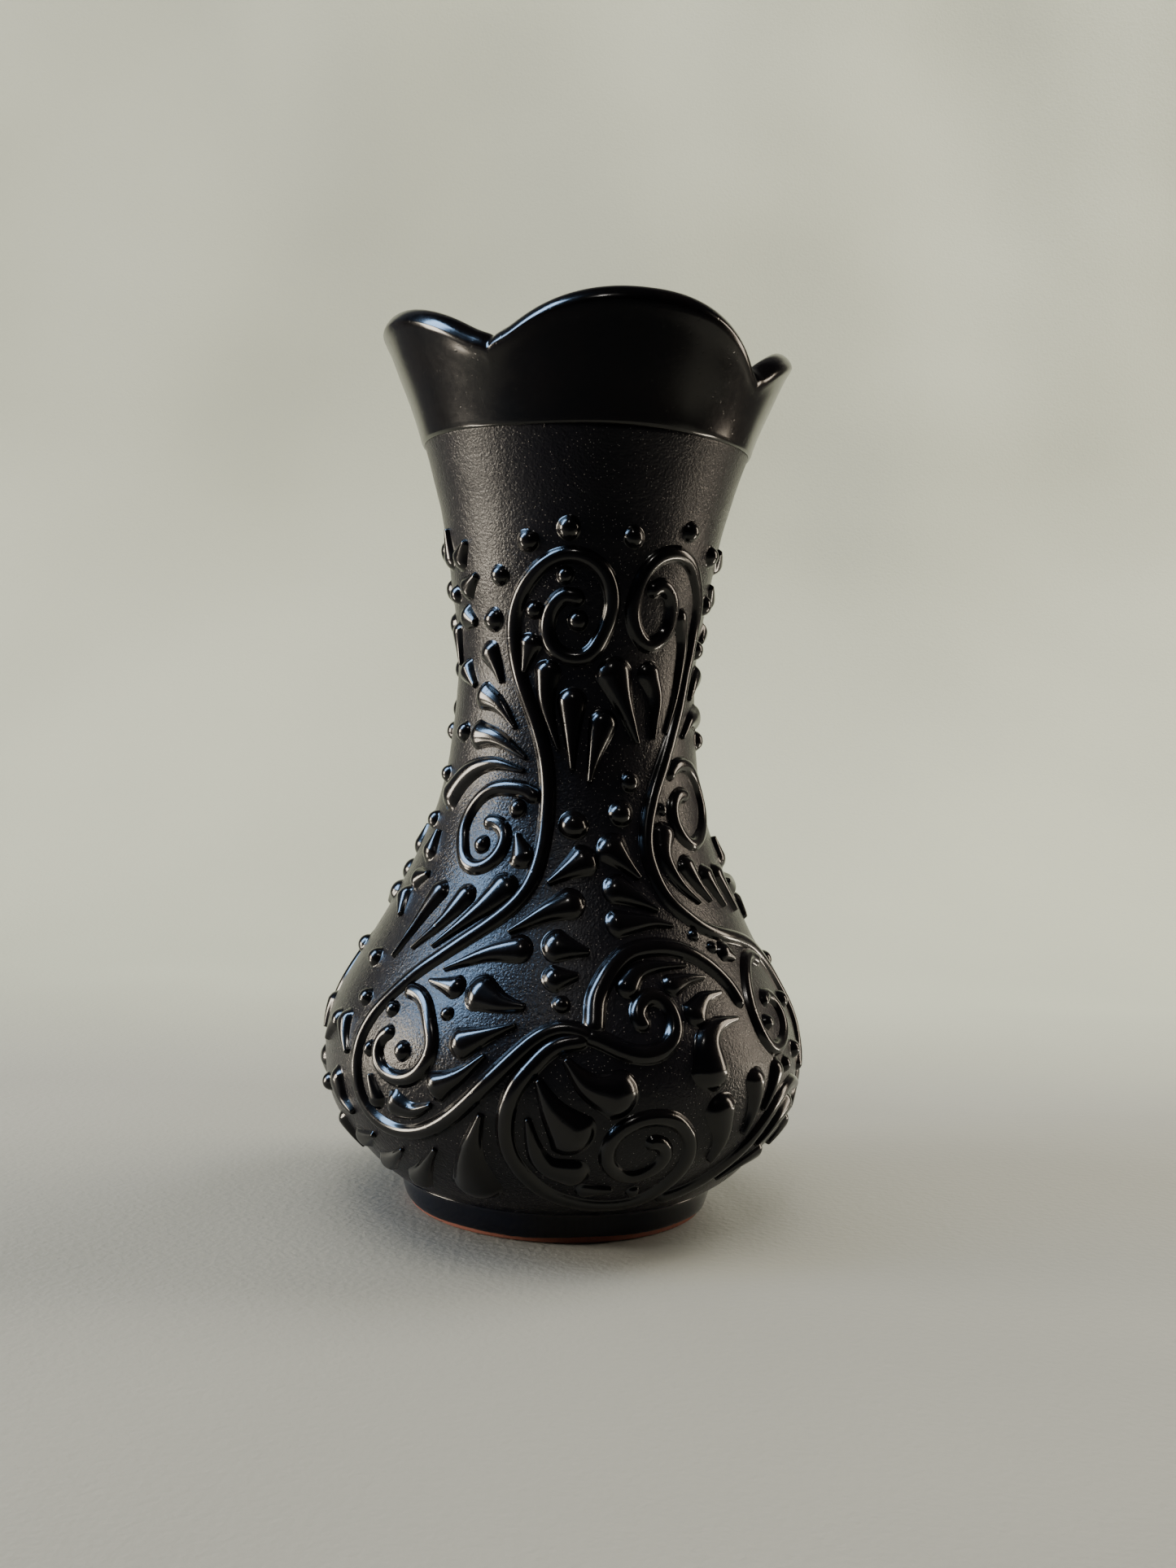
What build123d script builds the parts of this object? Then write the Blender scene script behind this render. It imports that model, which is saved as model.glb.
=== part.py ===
from build123d import *
import os
from math import cos, pi, radians, sin, sqrt

os.makedirs("parts", exist_ok=True)

# A wheel-thrown clay vase with slip-trailed relief. Millimetres, +Z up, origin at the centre of the
# foot's bearing face. A place on the wall is (angle, height): degrees about +Z from the front (-Y),
# positive towards +X, and millimetres above the bearing face.

# Driving dimensions
HEIGHT = 207.5            # bearing face to the top of a petal
FOOT_HEIGHT = 7.3         # bearing face to the crease under the belly
FOOT_RADIUS = 36.0        # at the bearing face, over the glaze
FOOT_CREASE_RADIUS = 38.3
FOOT_BORE_RADIUS = 29.0   # inside of the foot ring
FOOT_EDGE = 0.8           # rounding of the bearing face's edges
BARE_EDGE = 1.2           # unglazed red clay left at the bottom of the foot
WALL = 4.6                # clay wall of the belly and neck
LIP_WALL = 3.8            # clay wall at the lip
THINNING_Z = 160.0        # from here up the wall thins towards the lip
FLOOR = 6.0               # clay floor over the foot
FLOOR_FLAT_RADIUS = 24.0  # the floor is nearly flat out to here
FLOOR_EDGE_RADIUS = 41.0  # where the dished floor turns up into the wall
FLOOR_EDGE_RISE = 4.6
INNER_WALL_Z = 22.0       # above this the inside follows the outline
BLACK_COAT = 0.4          # matte black skin on the outside
GLAZE = 0.5               # glossy skin on the foot and the inside
BAND_GLAZE = 0.9          # thicker glossy skin of the lip band
BAND_Z = 181.0            # lower edge of the glossy band under the lip
LINING_Z = 186.0          # where the band ends inside the mouth
BAND_CORE = 37.0          # a radius within the clay wall, between the band's two edges
CLEAR = 80.0              # a radius outside every part of the pot
PETALS = 4
PETAL_RISE = 11.0         # petal top over the notches between the petals
PETAL_ANGLE = 11.5        # middle of the first petal
LINE_HEIGHT = 1.15        # relief above the wall's face
LEAF_HEIGHT = 1.3
DOT_HEIGHT = 1.3
SINK = 0.3                # how far a stroke's middle lies under the wall's face, for a firm bond
SECTION_STEP = 2.6        # distance between the sections of a stroke
CAP_STEPS = (0.06, 0.35)  # sections in a stroke's round end, in radii from its tip
LEAF_TAPER = 0.85         # under 1 a leaf stays full towards its tail
PANELS = {"front": 0, "back": 180}    # the same design twice round the pot

# Outline of the decorated wall, (radius, height), from the crease over the foot to the lip
WALL_OUTLINE = [
    (38.3, 7.3), (41.3, 9), (48.7, 16), (54.5, 24), (56.9, 34), (56.4, 44), (51.1, 56), (44.4, 68),
    (37.5, 82), (31.7, 98), (29.3, 114), (28.6, 130), (30.6, 146), (33.0, 160), (36.0, 172),
    (40.5, 186), (45.5, 198), (49.6, 208)]

# Slip-trailed lines: width, and the route from the start of the line to its end
VINES = {
    "left_vine": (2.5, [
        (1, 143.7), (-6, 144.3), (-12, 141.5), (-14, 137.5), (-12, 133.5), (-3, 130.7), (4, 131.3),
        (10, 135.3), (13.7, 141), (12.4, 147), (7.5, 151), (0, 153.2), (-8, 153.2), (-16.3, 150.9),
        (-23.7, 146.6), (-29, 141), (-30.3, 135), (-28.5, 129), (-25, 124), (-20, 118.5), (-15, 112.5),
        (-11.5, 106), (-10, 100), (-9.7, 92), (-10.3, 87), (-12.2, 81.5), (-15.5, 77.2), (-21, 73),
        (-28, 68.8), (-35, 64.4), (-41, 60.3), (-45.8, 56), (-49.8, 51), (-52.3, 45), (-52.6, 38),
        (-50.8, 32), (-46.5, 28), (-40.5, 26.2), (-33.5, 26.8), (-26.8, 29.8), (-20.6, 34.8),
        (-14.8, 41), (-10, 46), (-5.5, 49.8), (0, 51.8)]),
    "left_shoulder_scroll": (2.6, [
        (-14, 98.7), (-18, 100.2), (-26, 101), (-34, 100.6), (-40.5, 98.4), (-45, 94.5), (-45.8, 91),
        (-43.5, 87.3), (-39.5, 84), (-34, 83), (-29, 84.3), (-25.3, 88), (-26, 91.2), (-30.5, 93),
        (-35.5, 93)]),
    "left_belly_scroll": (2.6, [
        (-42.5, 56.2), (-38.5, 55.8), (-34.7, 53.8), (-32, 50.5), (-30, 46.2), (-31, 42),
        (-34.5, 38.8), (-39, 38), (-43, 39.4), (-45.2, 42.8), (-44.5, 46), (-42, 47.8)]),
    "centre_scroll": (2.7, [
        (-1.5, 48.2), (-5.5, 44.8), (-9.4, 39.5), (-11.3, 33), (-10.7, 26), (-7.8, 20.5), (-3, 16),
        (4, 13.2), (12, 12), (20, 12.3), (26, 14.5), (29.8, 18.5), (31.2, 23.5), (30, 28.5),
        (26.7, 32.2), (21.5, 33.7), (15.5, 32.5), (11.8, 29.3), (11, 25.5), (13, 21.9), (17.5, 20),
        (23, 22), (24.7, 25.3), (22.5, 28), (19.8, 28.3)]),
    "centre_arch": (3.2, [
        (7.4, 54.3), (7.8, 57.3), (9.6, 60.6), (12.5, 63.8), (17, 66.6), (23.5, 67.9), (30.5, 67.8),
        (36.3, 66.6), (41.2, 64.5), (45.3, 61.8), (48.6, 58.3), (50.2, 54.8)]),
    "centre_hook": (3, [
        (8, 50), (13, 48), (18, 46.8), (23, 47.7), (26.3, 50.5), (27, 54), (25.3, 57), (22, 58),
        (19.1, 56.8), (18, 54.2), (19.3, 51.8)]),
    "right_vine": (2.7, [
        (30.5, 146), (36, 147.8), (41.5, 146.3), (44.6, 141.7), (43.5, 138), (38, 135.2), (32, 134.6),
        (26.5, 137.2), (23.7, 141), (24.5, 146.3), (28, 151), (34, 154.2), (42, 155.3), (51, 153.8),
        (58, 150), (63.3, 145), (65, 138), (63, 131), (58, 123), (51.5, 116), (45, 109.5), (39.7, 104),
        (35.5, 99.5), (32.3, 95), (30.3, 91), (29.8, 87), (31.5, 82), (35.2, 77.3), (39.8, 74.3),
        (45, 71.8), (52, 70), (60, 68.7), (68, 67), (76, 63.5), (82, 57.5), (85, 50), (84.5, 42),
        (80, 36)]),
    "right_shoulder_scroll": (2.5, [
        (45.8, 104.5), (50, 106.6), (57, 107.5), (65, 106.3), (72, 102), (73.5, 98), (69, 93.5),
        (61, 90.3), (53.5, 89.5), (48.3, 92), (46.3, 95.7), (48.5, 99.2), (53, 100.5), (58, 100.3)]),
    "right_belly_scroll": (2.5, [
        (71, 62.3), (66, 64), (60, 62.3), (55.5, 57.5), (53.8, 51.5), (55.3, 47), (59.2, 44.7),
        (64.5, 45.5), (69, 50), (68, 54), (64, 55.6), (61, 54)]),
    "low_right_vine": (2.6, [
        (29, 12.8), (34, 13.7), (40, 15.8), (46, 20), (52, 26), (58, 31), (64, 34.3), (70, 35),
        (75, 33.5)]),
}

# Leaves and drops: width of the round head, and the route from the head's middle to the tail
LEAVES = {
    "neck": [
        (3.8, [(-22, 133.2), (-23.5, 130), (-24.5, 127.5)]),
        (4.4, [(-13.5, 127), (-13.5, 121.5), (-10.8, 116), (-7, 110.5)]),
        (5.2, [(-1.7, 120.5), (-1.3, 114), (-0.5, 106)]),
        (5, [(12.4, 116), (8.5, 108), (7, 103.5)]),
        (6.6, [(17.5, 127), (21.5, 121.5), (25.5, 116.5), (28.3, 112.5)]),
        (4.8, [(35.5, 127.5), (39, 123), (38.5, 118), (37.3, 113.5)]),
        (3.2, [(51, 141), (55, 136.5), (55.8, 131), (53.5, 125), (49, 119.3), (45.2, 115)]),
        (4.4, [(-43.5, 131), (-39.5, 128), (-36.5, 125)]),
        (4.8, [(-45, 121.3), (-38.5, 120), (-32, 117.3), (-27.5, 114.7)]),
        (5.2, [(-46.5, 112.5), (-38.5, 112.2), (-30, 110.6), (-21.5, 108)]),
        (4.4, [(80, 128), (73, 126), (67, 123)]),
        (4.6, [(77, 118.5), (67, 117.5), (58.5, 114)]),
        (4.6, [(-60.5, 153.5), (-55.5, 156.5)]),
        (4.4, [(-56.5, 146.5), (-50, 148.8)]),
        (4.6, [(-59.5, 139.5), (-53.5, 138.5)]),
        (4.6, [(-73, 154), (-72, 160)]),
        (4.4, [(-62, 127), (-54, 124)]),
        (4, [(-74, 136), (-71, 129)]),
        (4.4, [(86, 147), (79.5, 149.5)]),
        (4.4, [(88.5, 156), (82, 158)]),
        (4.4, [(90, 138.5), (84, 137)])],
    "shoulder": [
        (6.4, [(-61, 98.8), (-54.5, 102.4), (-46, 105), (-35, 106.2), (-22, 105)]),
        (5.4, [(4.3, 85.5), (-1, 83.4), (-6.2, 81)]),
        (5.6, [(16, 88.2), (20, 85.5), (24.3, 82.5)]),
        (5.6, [(0, 76.5), (-6, 74.8), (-11.5, 72.5), (-16.3, 70.3)]),
        (5.4, [(16.7, 79.8), (22, 78.3), (29, 75.6)]),
        (4.6, [(16, 72.8), (22, 73), (28, 73), (33, 72.2)]),
        (5.6, [(-1.8, 67.8), (6, 66.9)]),
        (4.4, [(-2, 61.4), (3, 62)]),
        (4.8, [(-13.3, 66.8), (-20, 65.8), (-26.5, 63.7), (-32.5, 61.4)]),
        (4.2, [(-17, 86.3), (-20.2, 90.5)]),
        (5.4, [(-21.8, 79), (-27, 75), (-33, 70.6), (-39.5, 65.6)]),
        (4.4, [(-35, 76.5), (-39, 71.8), (-43, 68), (-47, 64.5)]),
        (4.6, [(-47, 76.5), (-49.5, 72), (-51.5, 67.5), (-53.8, 62)]),
        (4.6, [(39, 91.5), (37.2, 87.5), (39, 83.5), (43, 79.8), (48, 76.8)]),
        (4.2, [(47.5, 84.3), (50.5, 80.6), (54.5, 77)]),
        (4.2, [(58, 82), (60.5, 78.5), (63, 75.5)]),
        (4.2, [(68, 82), (70.5, 78), (72.5, 74)]),
        (3.6, [(51.8, 65.9), (54.6, 64.4)]),
        (4.6, [(-63, 85.5), (-62, 89.5)]),
        (4.4, [(-62.5, 78.8), (-57, 80)]),
        (4.4, [(-67, 74), (-62.5, 70.5)]),
        (4.6, [(88, 85.5), (87, 89.5)]),
        (4.4, [(86, 79), (80, 79.8)]),
        (4.4, [(93, 74), (88.5, 71)])],
    "belly": [
        (4, [(-28.5, 58.2), (-35.5, 58.6)]),
        (6.4, [(-19.8, 57.3), (-15, 56), (-9.5, 55.5)]),
        (5, [(-22, 47.6), (-16.5, 49.8), (-11, 51.8)]),
        (4.8, [(-26.5, 38.3), (-22, 41), (-17, 45.3)]),
        (4.6, [(-38, 32.2), (-33.5, 31.7), (-29, 33.6)]),
        (3.6, [(-45, 32.6), (-46.8, 37)]),
        (6.2, [(3, 21.3), (-2, 22.8), (-5, 27), (-6.5, 33)]),
        (7.8, [(2.5, 31), (-1.2, 35.3), (-4.5, 41.2)]),
        (8, [(11.5, 39), (6, 40.8), (1.2, 45.5)]),
        (4, [(16.3, 60.3), (18.8, 62.6), (25, 64), (34, 63.9)]),
        (3.6, [(29, 60.2), (33, 61), (39, 61.2)]),
        (4.6, [(33.7, 54.5), (37.5, 57), (43, 57.8)]),
        (8.2, [(35, 43.5), (35.3, 48.5), (39, 51.5), (45.5, 52.3)]),
        (3, [(7.5, 16.6), (13.5, 16.8)]),
        (3.8, [(-57, 20.3), (-49.5, 22.8)]),
        (3.8, [(-52, 15.3), (-45.5, 18), (-40, 21.2)]),
        (4.8, [(-40, 13.9), (-34.5, 18), (-29, 23.5)]),
        (9, [(-20.5, 16.7), (-20, 22), (-18.5, 28), (-16.8, 33)]),
        (6.6, [(38.3, 33.3), (39.3, 28), (38.3, 22.5)]),
        (4.8, [(49.3, 38.5), (49, 33), (47, 27.5)]),
        (4.4, [(58.3, 39.5), (56.3, 36.2), (53.3, 32)]),
        (4, [(68, 29.8), (62, 27.3), (56, 23)]),
        (3.8, [(60, 19.8), (54, 18.3), (48, 15.6)]),
        (4.6, [(-62.5, 46), (-60, 43), (-57.5, 40.5)]),
        (3.8, [(-68.5, 45.5), (-73, 40.5)]),
        (5.4, [(-62.5, 32.3), (-60, 29), (-56, 27)]),
        (3.8, [(-67, 22), (-64, 17)]),
        (4.2, [(91.5, 46), (93, 40.5)]),
        (5.4, [(90.5, 32.3), (87.5, 28.5), (82.5, 26.5)]),
        (4.2, [(79, 23), (73, 19.5)])],
}

# Dots: angle, height and radius
DOTS = {
    "neck": [
        (-22, 156.3, 2.4), (-5.5, 159.2, 2.5), (20.5, 158, 2.3), (48, 160.6, 2.3), (68, 156.3, 2.4),
        (74, 145, 2.3), (74.5, 134.5, 2.3), (-6.5, 148.9, 1.7), (-20, 141.1, 1.9), (-0.5, 139, 2.1),
        (-36, 148.8, 2.2), (-41, 138.9, 2.6), (-60, 113, 2.3), (86, 113, 2.2), (-70, 145, 2.2)],
    "shoulder": [
        (24.8, 103.4, 2.1), (20, 96.3, 2.8), (1, 93.4, 3.1), (-22, 96.5, 1.9), (-34.2, 88, 1.9),
        (39.7, 97.3, 1.2), (41, 70, 1.2), (47, 67.2, 1.2), (-73, 92, 2.2), (-74, 103, 2)],
    "belly": [
        (-0.5, 56.4, 1.7), (-48.3, 42.8, 1.5), (-44.5, 51.8, 1.7), (-37.5, 44, 2), (20, 15.8, 1.3),
        (64, 40.3, 1.8), (59, 50.3, 1.7), (76.5, 53, 2.1), (-63.5, 60.5, 2.4), (-57, 52.5, 2.1),
        (90.5, 60.5, 2.3), (73, 42.2, 2.1), (-73, 30, 2.1), (-28, 52.8, 1.3)],
}


# ---- the wall's face ----------------------------------------------------------------------------
def curve_through(points):
    """A smooth curve through (radius, height) points, in the XZ plane."""
    return Spline(*[(radius, 0, height) for radius, height in points])


OUTLINE = curve_through(WALL_OUTLINE)


def outline_at(height):
    """Radius of the wall's face at a height, and the face's outward normal in the XZ plane."""
    low, high = 0.0, 1.0
    for _ in range(30):
        middle = (low + high) / 2
        if (OUTLINE @ middle).Z < height:
            low = middle
        else:
            high = middle
    tangent = OUTLINE % low
    return (OUTLINE @ low).X, Vector(tangent.Z, 0, -tangent.X)


def outward(angle):
    return Vector(sin(radians(angle)), -cos(radians(angle)), 0)


def on_wall(angle, height):
    return outward(angle) * outline_at(height)[0] + Vector(0, 0, height)


def wall_plane(point, along=None):
    """Plane on the wall under a point: y is the wall's normal, or z is, where nothing runs along."""
    radial = Vector(point.X, point.Y, 0).normalized()
    radius, slope = outline_at(point.Z)
    normal = radial * slope.X + Vector(0, 0, slope.Z)
    foot = radial * radius + Vector(0, 0, point.Z)
    if along is None:
        return Plane(origin=foot, z_dir=normal)
    across = along.cross(normal).normalized()
    return Plane(origin=foot - normal * SINK, x_dir=across, z_dir=across.cross(normal))


def moved_in(depth_at):
    """The outline's points, each moved in by depth_at(height) along the normal."""
    points = []
    for _, height in WALL_OUTLINE:
        radius, normal = outline_at(height)
        depth = depth_at(height)
        points.append((radius - depth * normal.X, height - depth * normal.Z))
    return points


def turned(points):
    """The solid of revolution inside a curve of (radius, height) points, closed flat at both ends."""
    curve = curve_through(points)
    bottom, top = curve @ 0, curve @ 1
    low, high = Vector(0, 0, bottom.Z), Vector(0, 0, top.Z)
    return revolve(make_face([curve, Line(top, high), Line(high, low), Line(low, bottom)]), Axis.Z)


def drum(radius, low, high):
    return Pos(0, 0, low) * Cylinder(radius, high - low, align=(Align.CENTER, Align.CENTER, Align.MIN))


# ---- clay and its skins -------------------------------------------------------------------------
def wall_thickness(height):
    return BLACK_COAT + WALL + (LIP_WALL - WALL) * max(0, height - THINNING_Z) / (HEIGHT - THINNING_Z)


def envelope(grow):
    """Everything inside the outer face, grown by grow from the wall's face."""
    return turned(moved_in(lambda height: -grow))


def cavity(shrink):
    """The room inside the pot, from a dished floor up through the mouth, less a skin of shrink."""
    floor = FOOT_HEIGHT + FLOOR + shrink
    inside = moved_in(lambda height: wall_thickness(height) + shrink)
    wall = [point for point in inside if point[1] > INNER_WALL_Z]
    (low_radius, low), (high_radius, high) = wall[-2:]
    past_lip = (high_radius + (high_radius - low_radius) * 0.6, high + (high - low) * 0.6)
    dish = [
        (0.5, floor), (FLOOR_FLAT_RADIUS, floor + 0.2), (FLOOR_EDGE_RADIUS - shrink, floor + FLOOR_EDGE_RISE)]
    return turned(dish + wall + [past_lip])


def lip_waste(grow):
    """What is cut from a plain lip to leave the petals, each a round arch seen from outside."""
    half_chord = WALL_OUTLINE[-1][0] * sin(pi / PETALS)
    arch = (half_chord ** 2 + PETAL_RISE ** 2) / (2 * PETAL_RISE)
    waste = drum(CLEAR, HEIGHT - 2 * PETAL_RISE, HEIGHT + PETAL_RISE)
    side = Plane(origin=(0, 0, HEIGHT - arch), x_dir=(1, 0, 0), z_dir=(0, -1, 0))
    corner = 2 * CLEAR
    wedge = Polyline((0, 0), (corner, -corner), (-corner, -corner), close=True)
    quarter = extrude(make_face(wedge), 2 * HEIGHT)
    for index in range(PETALS):
        petal = extrude(side * Circle(arch + grow), CLEAR + PETAL_RISE) & quarter
        waste -= Rot(0, 0, PETAL_ANGLE + index * 360 / PETALS) * petal
    return waste


clay = envelope(-BLACK_COAT) - cavity(0) - lip_waste(0)
face = envelope(0)
parts = {"clay_body": clay}

foot_side = Line((FOOT_RADIUS - GLAZE, 0, 0), (FOOT_CREASE_RADIUS - GLAZE, 0, FOOT_HEIGHT))
foot_face = [
    foot_side, Line(foot_side @ 1, (FOOT_BORE_RADIUS, 0, FOOT_HEIGHT)),
    Line((FOOT_BORE_RADIUS, 0, FOOT_HEIGHT), (FOOT_BORE_RADIUS, 0, 0)),
    Line((FOOT_BORE_RADIUS, 0, 0), foot_side @ 0)]
foot = revolve(make_face(foot_face), Axis.Z)
bare = [edge for edge in foot.edges() if edge.geom_type == GeomType.CIRCLE and edge.center().Z < 0.01]
parts["foot_ring"] = fillet(bare, FOOT_EDGE)
foot_cone = Solid.make_cone(FOOT_RADIUS, FOOT_CREASE_RADIUS, FOOT_HEIGHT)
foot_core = drum((FOOT_BORE_RADIUS + FOOT_RADIUS) / 2, 0, HEIGHT)
parts["foot_glaze"] = (foot_cone - foot) & (drum(CLEAR, BARE_EDGE, FOOT_HEIGHT) - foot_core)

parts["black_coat"] = (face - envelope(-BLACK_COAT)) & drum(CLEAR, FOOT_HEIGHT, BAND_Z)
dipped = envelope(BAND_GLAZE - BLACK_COAT) - cavity(GLAZE) - lip_waste(GLAZE)
band = dipped & drum(CLEAR, BAND_Z, 2 * HEIGHT)
parts["lip_band"] = band - clay - drum(BAND_CORE, 0, LINING_Z)
parts["inner_glaze"] = (cavity(0) - cavity(GLAZE)) & drum(CLEAR, FOOT_HEIGHT, LINING_Z)


# ---- relief -------------------------------------------------------------------------------------
def route(points, head=0.0):
    """The curve along a stroke, started head before its first point."""
    places = [on_wall(angle, height) for angle, height in points]
    if head:
        start = places[0] + (places[0] - places[1]).normalized() * head
        places.insert(0, start)
    return Spline(*places)


def line_width(width, along, length):
    """Width of a line at a distance along it: round at both ends."""
    radius = width / 2
    end = min(along, length - along, radius)
    return width * sqrt(max(0.0, 1 - (1 - end / radius) ** 2))


def leaf_width(width, along, length):
    """Width of a leaf at a distance along it: a round head, then a taper to the tail."""
    radius = width / 2
    if along < radius:
        return width * sqrt(1 - (1 - along / radius) ** 2)
    return width * ((length - along) / (length - radius)) ** LEAF_TAPER


def stations(width, length, tail):
    """Distances along a stroke where its sections lie, closer in its round ends."""
    radius = width / 2
    head = [radius * part for part in CAP_STEPS + (1,)]
    last = length - radius if tail == "round" else length - min(0.9, length * 0.08)
    count = max(2, round((last - radius) / SECTION_STEP))
    body = [radius + (last - radius) * index / count for index in range(1, count + 1)]
    end = [length - radius * part for part in reversed(CAP_STEPS)] if tail == "round" else []
    return head + body + end


def proud(shape):
    """The part of a stroke that stands proud of the wall's face."""
    pieces = (shape - face).solids()
    return max(pieces, key=lambda piece: Vector(piece.center().X, piece.center().Y, 0).length)


def stroke(curve, width, rise, width_at, tail):
    """A bead of slip laid along a curve, oval in section, bedded on the wall's face."""
    length = curve.length
    sections = []
    for along in stations(width, length, tail):
        part = along / length
        local = width_at(width, along, length)
        depth = SINK + rise * min(1.0, local / width) ** 0.7
        plane = wall_plane(curve @ part, curve % part)
        sections.append(Wire([Edge.make_ellipse(max(local / 2, depth * 1.01), depth, plane=plane)]))
    start = wall_plane(curve @ 0, curve % 0).origin
    end = wall_plane(curve @ 1, curve % 1).origin
    return proud(Solid.make_loft([Vertex(*start)] + sections + [Vertex(*end)], ruled=True))


def dot(angle, height, radius):
    """A drop of slip: the cap of a ball that stands DOT_HEIGHT over the wall's face."""
    ball = (radius ** 2 + DOT_HEIGHT ** 2) / (2 * DOT_HEIGHT)
    plane = wall_plane(on_wall(angle, height))
    return proud(Location(plane.origin - plane.z_dir * (ball - DOT_HEIGHT)) * Sphere(ball))


relief = {}
for name, (width, points) in VINES.items():
    relief[name] = [stroke(route(points), width, LINE_HEIGHT, line_width, "round")]
for tier, leaves in LEAVES.items():
    relief[tier + "_leaves"] = [
        stroke(route(points, width / 2), width, LEAF_HEIGHT, leaf_width, "point") for width, points in leaves]
for tier, dots in DOTS.items():
    relief[tier + "_dots"] = [dot(*place) for place in dots]

for side, turn in PANELS.items():
    for name, strokes in relief.items():
        solids = [Rot(0, 0, turn) * solid for solid in strokes]
        parts[side + "_" + name] = Compound(children=solids)

for name, shape in parts.items():
    export_step(shape, "parts/" + name + ".step")
    print(name, len(shape.solids()), round(shape.volume, 1))
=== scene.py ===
from math import cos, pi, radians, sin

import bmesh
import bpy
import numpy as np
from mathutils import Matrix, Vector


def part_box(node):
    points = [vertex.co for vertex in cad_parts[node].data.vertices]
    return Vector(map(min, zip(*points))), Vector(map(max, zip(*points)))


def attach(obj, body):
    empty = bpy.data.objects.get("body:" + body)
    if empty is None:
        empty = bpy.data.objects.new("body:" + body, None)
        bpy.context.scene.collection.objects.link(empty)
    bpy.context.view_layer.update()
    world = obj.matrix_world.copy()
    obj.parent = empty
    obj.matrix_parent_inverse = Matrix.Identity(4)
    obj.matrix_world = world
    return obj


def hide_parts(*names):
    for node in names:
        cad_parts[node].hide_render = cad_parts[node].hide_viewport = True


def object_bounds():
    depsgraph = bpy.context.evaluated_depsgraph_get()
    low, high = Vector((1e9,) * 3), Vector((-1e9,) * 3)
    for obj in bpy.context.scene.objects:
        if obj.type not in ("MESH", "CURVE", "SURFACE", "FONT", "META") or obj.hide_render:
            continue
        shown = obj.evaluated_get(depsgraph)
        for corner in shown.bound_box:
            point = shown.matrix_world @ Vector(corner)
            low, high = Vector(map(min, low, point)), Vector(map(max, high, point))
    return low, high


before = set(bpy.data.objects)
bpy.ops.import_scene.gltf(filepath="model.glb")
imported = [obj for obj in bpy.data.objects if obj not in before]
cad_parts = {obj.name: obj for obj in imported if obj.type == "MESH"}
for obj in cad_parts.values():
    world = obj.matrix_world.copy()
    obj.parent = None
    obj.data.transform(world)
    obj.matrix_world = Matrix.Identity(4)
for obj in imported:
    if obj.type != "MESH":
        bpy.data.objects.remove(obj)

cad_low, cad_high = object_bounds()

# Lengths are in millimetres until a mesh is made, and in metres from there on. A place on the wall is
# (angle, height): degrees about +Z from the front (-Y), positive towards +X, and height over the floor.
MM = 0.001
UP = np.array([0, 0, 1])
RANDOM = np.random.default_rng(7)

# ---- sizes, the same as the CAD model's ---------------------------------------------------------
TOP = cad_high.z / MM
FOOT_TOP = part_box("foot_ring")[1].z / MM
FOOT_BOTTOM_RADIUS = 36.0
FOOT_TOP_RADIUS = 38.3
BAND_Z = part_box("lip_band")[0].z / MM
LINING_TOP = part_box("inner_glaze")[1].z / MM
WALL = 4.6
LIP_WALL = 3.8
THINNING_Z = 160.0        # from here up the wall thins towards the lip
COAT = 0.4
PETALS = 4
PANELS = {"front": 0.0, "back": 180.0}

WALL_OUTLINE = [
    (38.3, 7.3), (41.3, 9), (48.7, 16), (54.5, 24), (56.9, 34), (56.4, 44), (51.1, 56), (44.4, 68),
    (37.5, 82), (31.7, 98), (29.3, 114), (28.6, 130), (30.6, 146), (33.0, 160), (36.0, 172),
    (40.5, 186), (45.5, 198), (49.6, 208)]

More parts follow.
